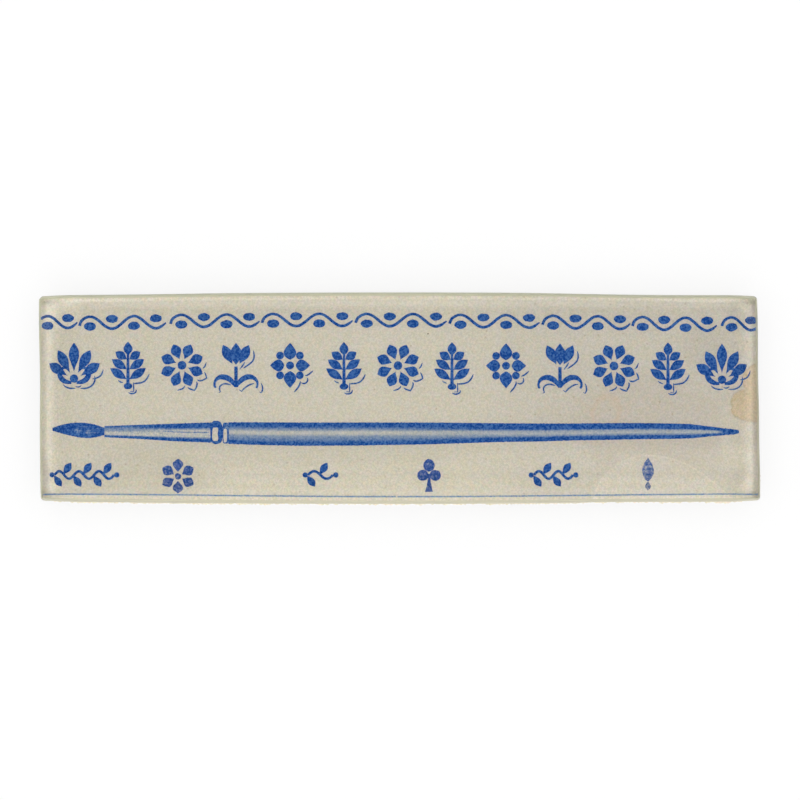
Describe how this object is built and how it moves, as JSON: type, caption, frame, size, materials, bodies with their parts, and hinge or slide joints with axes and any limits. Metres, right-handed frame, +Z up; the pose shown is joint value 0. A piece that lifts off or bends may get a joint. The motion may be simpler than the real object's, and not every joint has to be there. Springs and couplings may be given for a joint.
{
  "type": "glass tray",
  "caption": "Long shallow tray of slumped clear glass with a printed paper glued under it, for pens, brushes or small things.",
  "frame": {"origin": "middle of the tray's plan, on the surface that the bumpers stand on", "axes": "+X to the right along the tray's length, +Y to the back, the upper long side of the print, and +Z up"},
  "size_m": [0.3043, 0.0892, 0.0106],
  "materials": {
    "clear_glass": "gloss",
    "printed_paper": "matt, aged",
    "backing_paper": "matt",
    "clear_bumper": "gloss, clear"
  },
  "bodies": {
    "root": {"glass_tray": "clear_glass", "printed_paper": "printed_paper", "backing_paper": "backing_paper", "bumper_front_left": "clear_bumper", "bumper_front_right": "clear_bumper", "bumper_back_left": "clear_bumper", "bumper_back_right": "clear_bumper"}
  },
  "joints": []
}
